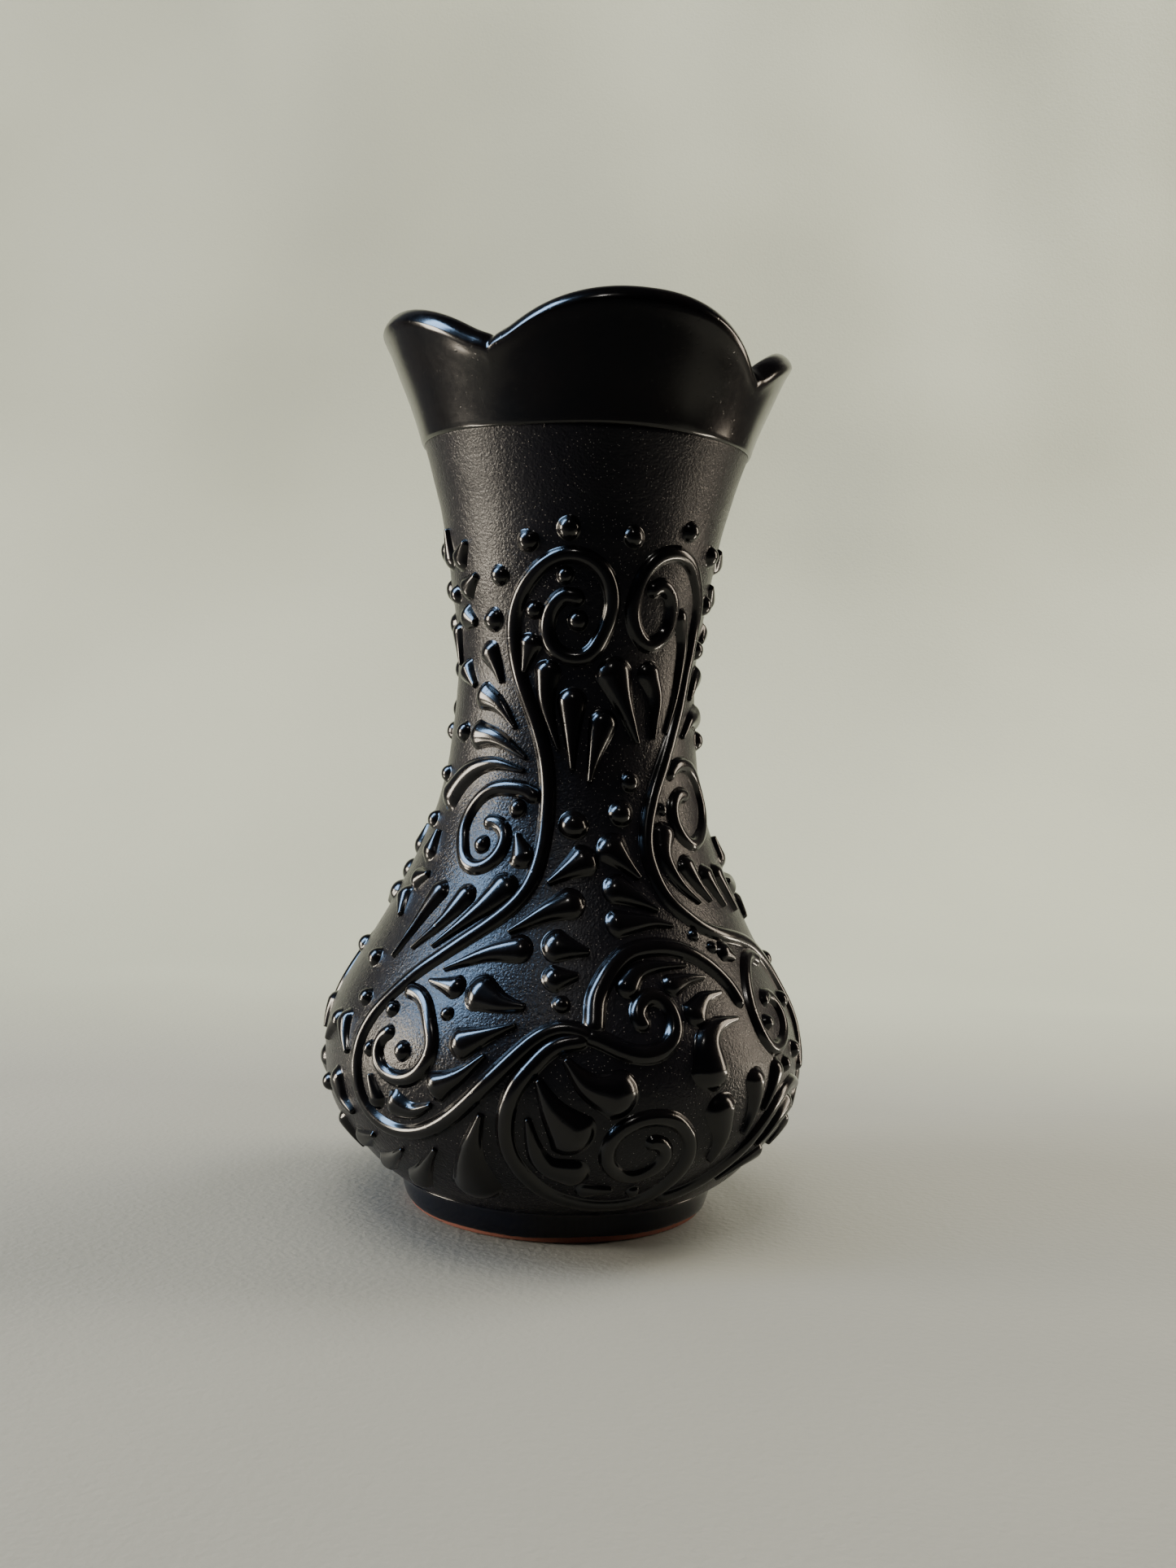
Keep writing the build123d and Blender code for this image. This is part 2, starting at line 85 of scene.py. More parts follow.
# Slip-trailed lines: width at the start and at the end, and the route
VINES = {
    "left_vine": (2.7, 2.6, [
        (1, 143.7), (-6, 144.3), (-12, 141.5), (-14, 137.5), (-12, 133.5), (-3, 130.7), (4, 131.3),
        (10, 135.3), (13.7, 141), (12.4, 147), (7.5, 151), (0, 153.2), (-8, 153.2), (-16.3, 150.9),
        (-23.7, 146.6), (-29, 141), (-30.3, 135), (-28.5, 129), (-25, 124), (-20, 118.5), (-15, 112.5),
        (-11.5, 106), (-10, 100), (-9.7, 92), (-10.3, 87), (-12.2, 81.5), (-15.5, 77.2), (-21, 73),
        (-28, 68.8), (-35, 64.4), (-41, 60.3), (-45.8, 56), (-49.8, 51), (-52.3, 45), (-52.6, 38),
        (-50.8, 32), (-46.5, 28), (-40.5, 26.2), (-33.5, 26.8), (-26.8, 29.8), (-20.6, 34.8),
        (-14.8, 41), (-10, 46), (-5.5, 49.8), (0, 51.8), (4.2, 51.3), (7.2, 50.2)]),
    "left_shoulder_scroll": (2.8, 2.5, [
        (-14, 98.7), (-18, 100.2), (-26, 101), (-34, 100.6), (-40.5, 98.4), (-45, 94.5), (-45.8, 91),
        (-43.5, 87.3), (-39.5, 84), (-34, 83), (-29, 84.3), (-25.3, 88), (-26, 91.2), (-30.5, 93),
        (-35.5, 93)]),
    "left_belly_scroll": (2.7, 2.5, [
        (-42.5, 56.2), (-38.5, 55.8), (-34.7, 53.8), (-32, 50.5), (-30, 46.2), (-31, 42),
        (-34.5, 38.8), (-39, 38), (-43, 39.4), (-45.2, 42.8), (-44.5, 46), (-42, 47.8)]),
    "centre_scroll": (3, 2.4, [
        (5.5, 49.8), (-1.5, 48.2), (-5.5, 44.8), (-9.4, 39.5), (-11.3, 33), (-10.7, 26), (-7.8, 20.5),
        (-3, 16), (4, 13.2), (12, 12), (20, 12.3), (26, 14.5), (29.8, 18.5), (31.2, 23.5), (30, 28.5),
        (26.7, 32.2), (21.5, 33.7), (15.5, 32.5), (11.8, 29.3), (11, 25.5), (13, 21.9), (17.5, 20),
        (23, 22), (24.7, 25.3), (22.5, 28), (19.8, 28.3)]),
    "centre_arch": (3.8, 2.5, [
        (6.9, 50.6), (7.4, 54.3), (7.8, 57.3), (9.6, 60.6), (12.5, 63.8), (17, 66.6), (23.5, 67.9),
        (30.5, 67.8), (36.3, 66.6), (41.2, 64.5), (45.3, 61.8), (48.6, 58.3), (50.2, 54.8)]),
    "centre_hook": (3.2, 2.7, [
        (5, 50.8), (8, 50), (13, 48), (18, 46.8), (23, 47.7), (26.3, 50.5), (27, 54), (25.3, 57),
        (22, 58), (19.1, 56.8), (18, 54.2), (19.3, 51.8)]),
    "right_vine": (2.8, 2.6, [
        (30.5, 146), (36, 147.8), (41.5, 146.3), (44.6, 141.7), (43.5, 138), (38, 135.2), (32, 134.6),
        (26.5, 137.2), (23.7, 141), (24.5, 146.3), (28, 151), (34, 154.2), (42, 155.3), (51, 153.8),
        (58, 150), (63.3, 145), (65, 138), (63, 131), (58, 123), (51.5, 116), (45, 109.5), (39.7, 104),
        (35.5, 99.5), (32.3, 95), (30.3, 91), (29.8, 87), (31.5, 82), (35.2, 77.3), (39.8, 74.3),
        (45, 71.8), (52, 70), (60, 68.7), (68, 67), (76, 63.5), (82, 57.5), (85, 50), (84.5, 42),
        (80, 36)]),
    "right_shoulder_scroll": (2.5, 2.5, [
        (45.8, 104.5), (50, 106.6), (57, 107.5), (65, 106.3), (72, 102), (73.5, 98), (69, 93.5),
        (61, 90.3), (53.5, 89.5), (48.3, 92), (46.3, 95.7), (48.5, 99.2), (53, 100.5), (58, 100.3)]),
    "right_belly_scroll": (2.5, 2.5, [
        (71, 62.3), (66, 64), (60, 62.3), (55.5, 57.5), (53.8, 51.5), (55.3, 47), (59.2, 44.7),
        (64.5, 45.5), (69, 50), (68, 54), (64, 55.6), (61, 54)]),
    "low_right_vine": (2.7, 2.3, [
        (29, 12.8), (34, 13.7), (40, 15.8), (46, 20), (52, 26), (58, 31), (64, 34.3), (70, 35),
        (75, 33.5)]),
}

# Leaves and drops: width of the round head, and the route from the head's middle to the tail
LEAVES = {
    "neck": [
        (3.8, [(-22, 133.2), (-23.5, 130), (-24.5, 127.5)]),
        (4.4, [(-13.5, 127), (-13.5, 121.5), (-10.8, 116), (-7, 110.5)]),
        (5.2, [(-1.7, 120.5), (-1.3, 114), (-0.5, 106)]),
        (5, [(12.4, 116), (8.5, 108), (7, 103.5)]),
        (6.6, [(17.5, 127), (21.5, 121.5), (25.5, 116.5), (28.3, 112.5)]),
        (4.8, [(35.5, 127.5), (39, 123), (38.5, 118), (37.3, 113.5)]),
        (3.2, [(51, 141), (55, 136.5), (55.8, 131), (53.5, 125), (49, 119.3), (45.2, 115)]),
        (4.4, [(-43.5, 131), (-39.5, 128), (-36.5, 125)]),
        (4.8, [(-45, 121.3), (-38.5, 120), (-32, 117.3), (-27.5, 114.7)]),
        (5.2, [(-46.5, 112.5), (-38.5, 112.2), (-30, 110.6), (-21.5, 108)]),
        (4.4, [(80, 128), (73, 126), (67, 123)]),
        (4.6, [(77, 118.5), (67, 117.5), (58.5, 114)]),
        (4.6, [(-60.5, 153.5), (-55.5, 156.5)]),
        (4.4, [(-56.5, 146.5), (-50, 148.8)]),
        (4.6, [(-59.5, 139.5), (-53.5, 138.5)]),
        (4.6, [(-73, 154), (-72, 160)]),
        (4.4, [(-62, 127), (-54, 124)]),
        (4, [(-74, 136), (-71, 129)]),
        (4.4, [(86, 147), (79.5, 149.5)]),
        (4.4, [(88.5, 156), (82, 158)]),
        (4.4, [(90, 138.5), (84, 137)])],
    "shoulder": [
        (6.4, [(-61, 98.8), (-54.5, 102.4), (-46, 105), (-35, 106.2), (-22, 105)]),
        (5.4, [(4.3, 85.5), (-1, 83.4), (-6.2, 81)]),
        (5.6, [(16, 88.2), (20, 85.5), (24.3, 82.5)]),
        (5.6, [(0, 76.5), (-6, 74.8), (-11.5, 72.5), (-16.3, 70.3)]),
        (5.4, [(16.7, 79.8), (22, 78.3), (29, 75.6)]),
        (4.6, [(16, 72.8), (22, 73), (28, 73), (33, 72.2)]),
        (5.6, [(-1.8, 67.8), (6, 66.9)]),
        (4.4, [(-2, 61.4), (3, 62)]),
        (4.8, [(-13.3, 66.8), (-20, 65.8), (-26.5, 63.7), (-32.5, 61.4)]),
        (4.2, [(-17, 86.3), (-20.2, 90.5)]),
        (5.4, [(-21.8, 79), (-27, 75), (-33, 70.6), (-39.5, 65.6)]),
        (4.4, [(-35, 76.5), (-39, 71.8), (-43, 68), (-47, 64.5)]),
        (4.6, [(-47, 76.5), (-49.5, 72), (-51.5, 67.5), (-53.8, 62)]),
        (4.6, [(39, 91.5), (37.2, 87.5), (39, 83.5), (43, 79.8), (48, 76.8)]),
        (4.2, [(47.5, 84.3), (50.5, 80.6), (54.5, 77)]),
        (4.2, [(58, 82), (60.5, 78.5), (63, 75.5)]),
        (4.2, [(68, 82), (70.5, 78), (72.5, 74)]),
        (3.6, [(51.8, 65.9), (54.6, 64.4)]),
        (4.6, [(-63, 85.5), (-62, 89.5)]),
        (4.4, [(-62.5, 78.8), (-57, 80)]),
        (4.4, [(-67, 74), (-62.5, 70.5)]),
        (4.6, [(88, 85.5), (87, 89.5)]),
        (4.4, [(86, 79), (80, 79.8)]),
        (4.4, [(93, 74), (88.5, 71)])],
    "belly": [
        (4, [(-28.5, 58.2), (-35.5, 58.6)]),
        (6.4, [(-19.8, 57.3), (-15, 56), (-9.5, 55.5)]),
        (5, [(-22, 47.6), (-16.5, 49.8), (-11, 51.8)]),
        (4.8, [(-26.5, 38.3), (-22, 41), (-17, 45.3)]),
        (4.6, [(-38, 32.2), (-33.5, 31.7), (-29, 33.6)]),
        (3.6, [(-45, 32.6), (-46.8, 37)]),
        (6.2, [(3, 21.3), (-2, 22.8), (-5, 27), (-6.5, 33)]),
        (7.8, [(2.5, 31), (-1.2, 35.3), (-4.5, 41.2)]),
        (8, [(11.5, 39), (6, 40.8), (1.2, 45.5)]),
        (4, [(16.3, 60.3), (18.8, 62.6), (25, 64), (34, 63.9)]),
        (3.6, [(29, 60.2), (33, 61), (39, 61.2)]),
        (4.6, [(33.7, 54.5), (37.5, 57), (43, 57.8)]),
        (8.2, [(35, 43.5), (35.3, 48.5), (39, 51.5), (45.5, 52.3)]),
        (3, [(7.5, 16.6), (13.5, 16.8)]),
        (3.8, [(-57, 20.3), (-49.5, 22.8)]),
        (3.8, [(-52, 15.3), (-45.5, 18), (-40, 21.2)]),
        (4.8, [(-40, 13.9), (-34.5, 18), (-29, 23.5)]),
        (9, [(-20.5, 16.7), (-20, 22), (-18.5, 28), (-16.8, 33)]),
        (6.6, [(38.3, 33.3), (39.3, 28), (38.3, 22.5)]),
        (4.8, [(49.3, 38.5), (49, 33), (47, 27.5)]),
        (4.4, [(58.3, 39.5), (56.3, 36.2), (53.3, 32)]),
        (4, [(68, 29.8), (62, 27.3), (56, 23)]),
        (3.8, [(60, 19.8), (54, 18.3), (48, 15.6)]),
        (4.6, [(-62.5, 46), (-60, 43), (-57.5, 40.5)]),
        (3.8, [(-68.5, 45.5), (-73, 40.5)]),
        (5.4, [(-62.5, 32.3), (-60, 29), (-56, 27)]),
        (3.8, [(-67, 22), (-64, 17)]),
        (4.2, [(91.5, 46), (93, 40.5)]),
        (5.4, [(90.5, 32.3), (87.5, 28.5), (82.5, 26.5)]),
        (4.2, [(79, 23), (73, 19.5)])],
}

# Dots: angle, height and radius
DOTS = {
    "neck": [
        (-22, 156.3, 2.4), (-5.5, 159.2, 2.5), (20.5, 158, 2.3), (48, 160.6, 2.3), (68, 156.3, 2.4),
        (74, 145, 2.3), (74.5, 134.5, 2.3), (-6.5, 148.9, 1.7), (-20, 141.1, 1.9), (-0.5, 139, 2.1),
        (-36, 148.8, 2.2), (-41, 138.9, 2.6), (-60, 113, 2.3), (86, 113, 2.2), (-70, 145, 2.2)],
    "shoulder": [
        (24.8, 103.4, 2.1), (20, 96.3, 2.8), (1, 93.4, 3.1), (-22, 96.5, 1.9), (-34.2, 88, 1.9),
        (39.7, 97.3, 1.2), (41, 70, 1.2), (47, 67.2, 1.2), (-73, 92, 2.2), (-74, 103, 2)],
    "belly": [
        (-0.5, 56.4, 1.7), (-48.3, 42.8, 1.5), (-44.5, 51.8, 1.7), (-37.5, 44, 2), (20, 15.8, 1.3),
        (64, 40.3, 1.8), (59, 50.3, 1.7), (76.5, 53, 2.1), (-63.5, 60.5, 2.4), (-57, 52.5, 2.1),
        (90.5, 60.5, 2.3), (73, 42.2, 2.1), (-73, 30, 2.1), (-28, 52.8, 1.3)],
}


# ---- curves -------------------------------------------------------------------------------------
def through(points, step):
    """Points every step along a smooth (natural cubic) curve through the given points."""
    points = np.asarray(points, float)
    knots = np.concatenate([[0], np.cumsum(np.linalg.norm(np.diff(points, axis=0), axis=1))])
    gaps = np.diff(knots)
    count = len(points)
    system = np.eye(count)
    right = np.zeros_like(points)
    for i in range(1, count - 1):
        system[i, i - 1:i + 2] = gaps[i - 1], 2 * (gaps[i - 1] + gaps[i]), gaps[i]
        right[i] = 6 * ((points[i + 1] - points[i]) / gaps[i] - (points[i] - points[i - 1]) / gaps[i - 1])
    bend = np.linalg.solve(system, right)
    at = np.linspace(0, knots[-1], max(3, int(round(knots[-1] / step)) + 1))
    i = np.clip(np.searchsorted(knots, at, side="right") - 1, 0, count - 2)
    low, high, gap = (knots[i + 1] - at)[:, None], (at - knots[i])[:, None], gaps[i][:, None]
    return (bend[i] * low ** 3 + bend[i + 1] * high ** 3) / (6 * gap) \
        + (points[i] / gap - bend[i] * gap / 6) * low + (points[i + 1] / gap - bend[i + 1] * gap / 6) * high


OUTLINE = through(WALL_OUTLINE, 0.1)
SLOPE = np.gradient(OUTLINE, axis=0)
SLOPE /= np.linalg.norm(SLOPE, axis=1)[:, None]


def outward(angle):
    return np.array([sin(radians(angle)), -cos(radians(angle)), 0])


def wall_radius(height):
    return np.interp(height, OUTLINE[:, 1], OUTLINE[:, 0])


def wall_normal(height):
    """Outward and upward parts of the wall's normal."""
    return (np.interp(height, OUTLINE[:, 1], SLOPE[:, 1]), -np.interp(height, OUTLINE[:, 1], SLOPE[:, 0]))


def hand(angle, height):
    """How far the thrown wall strays from a true turning: slow swells and faint throwing rings."""
    around = np.radians(angle)
    swell = 0.10 * np.sin(2 * around + 0.9 + height / 70) + 0.06 * np.sin(3 * around + 2.0 - height / 45)
    rings = 0.035 * np.sin(height / 1.9 + 0.8 * np.sin(around)) + 0.04 * np.sin(height / 4.7 + 1)
    return swell + rings


def on_wall(angle, height, lift):
    """Points over the wall's face, lifted along its normal."""
    around = np.radians(angle)
    out, up = wall_normal(height)
    lift = lift + hand(angle, height)
    radius = wall_radius(height) + lift * out
    return np.stack([radius * np.sin(around), -radius * np.cos(around), height + lift * up], -1)


def over_wall(points, lift):
    """The same for any points near the wall: each moves to the wall at its own angle and height."""
    angle = np.degrees(np.arctan2(points[..., 0], -points[..., 1]))
    return on_wall(angle, points[..., 2], lift)


def turned(points, turn):
    """Points turned about +Z by turn degrees, to the other side of the pot."""
    return points @ np.array(Matrix.Rotation(radians(turn), 3, "Z").transposed())


# ---- meshes -------------------------------------------------------------------------------------
WELD = 1e-7               # metres within which two points are one


class Shells:
    """Closed shells gathered into one mesh."""

    def __init__(self):
        self.points = []
        self.faces = []
        self.count = 0

    def add(self, points):
        start = self.count
        self.points.append(np.asarray(points).reshape(-1, 3))
        self.count += len(self.points[-1])
        return start

    def tube(self, rings, start, end):
        """Rings of points joined in turn, closed at each end to a point."""
        rows, across = rings.shape[:2]
        first = self.add(rings)
        ahead = np.roll(np.arange(across), -1)
        for row in range(rows - 1):
            low, high = first + row * across, first + (row + 1) * across
            for here, there in zip(range(across), ahead):
                self.faces.append((low + here, low + there, high + there, high + here))
        for tip, row, flip in ((start, 0, True), (end, rows - 1, False)):
            pole, base = self.add(tip), first + row * across
            for here, there in zip(range(across), ahead):
                fan = (base + here, base + there, pole)
                self.faces.append(fan[::-1] if flip else fan)

    def ring(self, sections):
        """Closed sections that go round the pot and meet their own start."""
        rows, across = sections.shape[:2]
        first = self.add(sections)
        ahead = np.roll(np.arange(across), -1)
        for row in range(rows):
            low, high = first + row * across, first + ((row + 1) % rows) * across
            for here, there in zip(range(across), ahead):
                self.faces.append((low + here, high + here, high + there, low + there))

    def piece(self, name, material, slot, node):
        """The shells as one welded object that rides on the pot and stands for a CAD node."""
        mesh = bpy.data.meshes.new(name)
        mesh.from_pydata((np.concatenate(self.points) * MM).tolist(), [], self.faces)
        shaped = bmesh.new()
        shaped.from_mesh(mesh)
        bmesh.ops.remove_doubles(shaped, verts=shaped.verts, dist=WELD)
        bmesh.ops.recalc_face_normals(shaped, faces=shaped.faces)
        shaped.to_mesh(mesh)
        shaped.free()
        mesh.polygons.foreach_set("use_smooth", [True] * len(mesh.polygons))
        mesh.materials.append(material)
        mesh.update()
        piece = bpy.data.objects.new(name, mesh)
        bpy.context.collection.objects.link(piece)
        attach(piece, "root")
        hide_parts(node)


# ---- relief -------------------------------------------------------------------------------------
ACROSS = np.linspace(-1, 1, 21)
CROWN = 0.84              # share of a bead's half width under its crown; the rest is its hollow foot
BED = -0.10               # the bead's edge lies this far under the wall's face
BED_FROM = 0.92           # share of the half width where the edge starts to dip to BED
FLARE = 0.75              # how far the bead's hollow foot runs out past the bead
RIM_STEPS = np.array([0.03, 0.1, 0.2, 0.35, 0.55])    # extra rings in a stroke's first and last step
LINE_STEP = 0.45          # distance between the rings along a line
LEAF_STEP = 0.35
LEAF_SPREAD = 1.28        # how far a leaf's slip spreads, against the width that the list gives
TAIL = 0.6                # how far a leaf runs on past its last point


def bead_rise(radius):
    """Height over a bead from its middle, 0, to the edge of its foot, 1: a full crown on a hollow foot."""
    out = radius / CROWN
    crown = np.where(out < 1, np.clip(1 - out ** 2.3, 0, 1) ** 0.72, 2.5 * (1 - out))
    fillet = np.clip(0.4 - np.abs(crown), 0, 0.4) / 0.4
    return np.maximum(crown, 0) + 0.1 * fillet ** 2


def bead_lift(radius, rise):
    """The same in millimetres over the wall's face, with the outermost edge bedded under it."""
    return rise * bead_rise(radius) + BED * np.clip((radius - BED_FROM) / (1 - BED_FROM), 0, 1)


def wander(count, step, size):
    """A slow random change along a stroke, about every 6 mm, from the hand that lays it."""
    coarse = RANDOM.normal(0, size, max(4, int(count * step / 6) + 3))
    return np.interp(np.linspace(0, len(coarse) - 1, count), range(len(coarse)), coarse)


def rings_of(middle, half, rise, turn):
    """Rings across a stroke, and the points that close its two round ends."""
    step = np.linalg.norm(np.diff(middle, axis=0), axis=1)
    along = np.concatenate([[0], np.cumsum(step)])
    length = along[-1]
    tangent = np.gradient(middle, axis=0)
    angle = np.degrees(np.arctan2(middle[:, 0], -middle[:, 1]))
    out, up = wall_normal(middle[:, 2])
    normal = np.stack([out * np.sin(np.radians(angle)), -out * np.cos(np.radians(angle)), up], -1)
    side = np.cross(tangent, normal)
    side /= np.linalg.norm(side, axis=1)[:, None]
    first, last = half[0], half[-1]
    start = np.clip(1 - along / first, 0, 1)
    end = np.clip(1 - (length - along) / last, 0, 1)
    past = np.maximum(start, end)
    reach = half * np.sqrt(np.clip(1 - past ** 2, 0.0004, 1))
    radius = np.sqrt(past[:, None] ** 2 + (ACROSS ** 2)[None] * (1 - past[:, None] ** 2))
    flat = middle[:, None] + side[:, None] * (ACROSS[None, :, None] * reach[:, None, None])
    points = turned(over_wall(flat, bead_lift(radius, rise[:, None])), turn)
    tips = [turned(over_wall(middle[i], np.array(BED)), turn) for i in (0, -1)]
    return points[1:-1], tips


def route_points(route, head, tail, step):
    """The line along a stroke on the wall, run out by head and tail past its two ends."""
    places = [on_wall(angle, height, 0.0) for angle, height in route]
    places.insert(0, places[0] + (places[0] - places[1]) / np.linalg.norm(places[0] - places[1]) * head)
    places.append(places[-1] + (places[-1] - places[-2]) / np.linalg.norm(places[-1] - places[-2]) * tail)
    line = through(places, step)
    extra_start = line[0] + (line[1] - line[0]) * RIM_STEPS[:, None]
    extra_end = line[-1] + (line[-2] - line[-1]) * RIM_STEPS[::-1, None]
    return np.concatenate([line[:1], extra_start, line[1:-1], extra_end, line[-1:]])


def lay_line(shells, start_width, end_width, route, turn):
    """A slip-trailed line: a little bulb where the bottle starts, then one width that drifts."""
    line = route_points(route, FLARE, FLARE, LINE_STEP)
    count = len(line)
    part = np.linspace(0, 1, count)
    bulb = 1 + 0.10 * np.exp(-(part * count * LINE_STEP / 2.2) ** 2)
    half = (start_width + (end_width - start_width) * part) / 2 * bulb * (1 + wander(count, LINE_STEP, 0.035))
    rise = (0.85 + 0.40 * half) * (1 + wander(count, LINE_STEP, 0.03))
    half = 1.06 * half + FLARE
    rings, tips = rings_of(line, half, rise, turn)
    shells.tube(rings, *tips)


def lay_leaf(shells, width, route, turn):
    """A leaf or a drop: a fat round head that draws out to a hollow-sided tail."""
    width = width * LEAF_SPREAD
    line = route_points(route, width / 2 + FLARE, TAIL, LEAF_STEP)
    part = np.linspace(0, 1, len(line))
    length = np.linalg.norm(np.diff(line, axis=0), axis=1).sum()
    shoulder = (width / 2 + FLARE) / length
    taper = np.clip((part - shoulder) / (1 - shoulder), 0, 1)
    body = width / 2 * (0.72 * (1 - taper) ** 1.7 + 0.28 * (1 - taper) ** 0.4)
    half = body + FLARE * (0.35 + 0.65 * (1 - taper))
    half *= 1 + wander(len(line), LEAF_STEP, 0.03)
    rise = (0.90 + 0.15 * width) * (0.30 + 0.70 * np.clip(body * 2 / width, 0, 1) ** 0.5)
    rings, tips = rings_of(line, half, rise, turn)
    shells.tube(rings, *tips)


def lay_dot(shells, angle, height, radius, turn):
    """A drop that stands where the bottle let go: a dome, never quite round."""
    rings, segments = 15, 36
    reach = radius + FLARE * 0.75
    around = np.linspace(0, 2 * pi, segments, endpoint=False)
    waver = 1 + 0.03 * np.sin(2 * around + RANDOM.uniform(0, 6))
    waver += 0.02 * np.sin(3 * around + RANDOM.uniform(0, 6))
    from_middle = np.sin(np.linspace(0.03, pi / 2, rings))
    across = from_middle[:, None] * waver * reach
    middle = on_wall(angle, height, 0.0)
    east = np.array([cos(radians(angle)), sin(radians(angle)), 0])
    out, up = wall_normal(height)
    north = np.array([-up * sin(radians(angle)), up * cos(radians(angle)), out])
    flat = middle + (across * np.cos(around))[..., None] * east + (across * np.sin(around))[..., None] * north
    rise = 0.60 + 0.55 * radius
    lift = bead_lift(from_middle, rise)[:, None] * np.ones(segments)
    top, bottom = over_wall(middle, np.array(rise)), over_wall(middle, np.array(BED * 2))
    shells.tube(turned(over_wall(flat, lift), turn), turned(top, turn), turned(bottom, turn))


# ---- lip, coat, lining and foot -----------------------------------------------------------------
# Notches between the petals, going round from the front petal's left end: angle, drop below the top
# and softness. The petal that follows each notch rises to its own top.
NOTCH_ANGLE = np.array([-29.5, 58.5, 147.0, 238.0])
NOTCH_DROP = np.array([10.8, 12.6, 11.5, 11.8])
NOTCH_SOFT = np.array([0.10, 0.07, 0.10, 0.12])
PETAL_TOP = np.array([0.4, -1.6, -0.3, 0.0])


def petal_height(angle):
    """Top of the lip at an angle: four full arches between softened notches, none quite alike."""
    past = (angle - NOTCH_ANGLE[0]) % 360
    ends = np.append(NOTCH_ANGLE - NOTCH_ANGLE[0], 360)
    index = int(np.searchsorted(ends, past, side="right")) - 1
    after = (index + 1) % PETALS
    share = (past - ends[index]) / (ends[index + 1] - ends[index])
    edge = abs(2 * share - 1)
    low = TOP - NOTCH_DROP[index] * (1 - share) - NOTCH_DROP[after] * share
    soft = NOTCH_SOFT[index] if share < 0.5 else NOTCH_SOFT[after]
    arch = (1 - edge ** 2.3) * (TOP + PETAL_TOP[index] - low)
    return low + arch + 1.2 * np.exp(-((1 - edge) / soft) ** 2)


def wall_thickness(height):
    return COAT + WALL + (LIP_WALL - WALL) * np.clip((height - THINNING_Z) / (TOP - THINNING_Z), 0, 1)


# How far up the lip's outside its rows lie, closer at the band's foot and near the rim
RIM_RISE = np.array([0, 0.01, 0.04, 0.09, 0.16, 0.26, 0.38, 0.50, 0.62, 0.72, 0.81, 0.88, 0.94, 1])


def rim_path(angle, low, top, crown, outer_lift, inner_lift, inside_low):
    """A section over the lip: up the outside from low, round the edge, and down the inside."""
    outer_z = low + (top - crown - low) * RIM_RISE
    outer = on_wall(angle, outer_z, outer_lift(outer_z))
    inner_z = np.linspace(top - crown, inside_low, 8)
    inner = on_wall(angle, inner_z, inner_lift(inner_z))
    middle, reach = (outer[-1] + inner[0]) / 2, (outer[-1] - inner[0]) / 2
    bend = np.linspace(0, pi, 13)[1:-1, None]
    edge = middle + reach * np.cos(bend) + UP * crown * np.sin(bend)
    return np.concatenate([outer, edge, inner])


CLAY_RIM = 1.6            # height of the clay lip's rounded edge
BAND_RIM = 2.2            # and of the glossy band's over it
RIM_FROM = 170.0          # the clay's rim sections start here
FLOOR_RISE = 12.0         # how far the dished floor rises to meet the wall


def dish(angle, wall, low, rise, bend):
    """Points up the dished floor, from level in its middle (bend 0) to the wall's foot (bend pi / 2)."""
    reach = wall[:2] @ outward(angle)[:2]
    bend = bend[:, None]
    return outward(angle) * reach * np.sin(bend) + UP * (low + rise * (1 - np.cos(bend)) ** 1.6)


def make_clay(material):
    """The thrown body under its skins: floor, wall and petalled rim."""
    shells = Shells()
    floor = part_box("inner_glaze")[0].z / MM
    bottom = FOOT_TOP + 0.1
    wall_z = np.linspace(bottom, RIM_FROM - 2, 60)
    back_z = np.linspace(RIM_FROM - 2, floor + FLOOR_RISE, 60)
    sections = []
    for angle in np.arange(0, 360, 1.5):
        top = petal_height(angle) - 0.9
        wall = on_wall(angle, wall_z, -COAT - 0.05)
        rim = rim_path(
            angle, RIM_FROM, top, CLAY_RIM, lambda z: -COAT - 0.05, lambda z: -wall_thickness(z), RIM_FROM)
        back = on_wall(angle, back_z, -wall_thickness(back_z))
        bowl = dish(angle, back[-1], floor, FLOOR_RISE, np.linspace(pi / 2, 0, 10)[1:])
        sections.append(np.concatenate([UP[None] * bottom, wall, rim, back, bowl]))
    shells.ring(np.array(sections))
    shells.piece("clay_wall", material, "red_clay", "clay_body")


def band_lift(z, low, top):
    """The glossy band's height over the wall's face: a bead along the rim and a ridge along its foot."""
    return 0.42 + 0.30 * np.exp(-((z - top + 2.6) / 1.9) ** 2) + 0.10 * np.exp(-((z - low) / 2.0) ** 2)


def make_lip(material):
    """The glossy band: over the lip in one rounded edge, with a soft step along its foot."""
    shells = Shells()
    sections = []
    for angle in np.arange(0, 360, 0.75):
        top = petal_height(angle)
        low = BAND_Z - 0.2 + 0.35 * sin(radians(2 * angle + 40)) + 0.15 * sin(radians(5 * angle))
        outside = rim_path(
            angle, low, top, BAND_RIM, lambda z: band_lift(z, low, top),
            lambda z: -(wall_thickness(z) + 0.52), LINING_TOP - 0.5)
        outside[0] = on_wall(angle, low, -0.05)
        outside[1] = on_wall(angle, low + 0.15, 0.38)
        under = rim_path(
            angle, low + 0.3, top - 0.87, CLAY_RIM, lambda z: -COAT - 0.02,
            lambda z: -wall_thickness(z) - 0.02, LINING_TOP - 0.5)
        sections.append(np.concatenate([outside, under[::-1]]))
    shells.ring(np.array(sections))
    shells.piece("glossy_lip", material, "gloss_black", "lip_band")


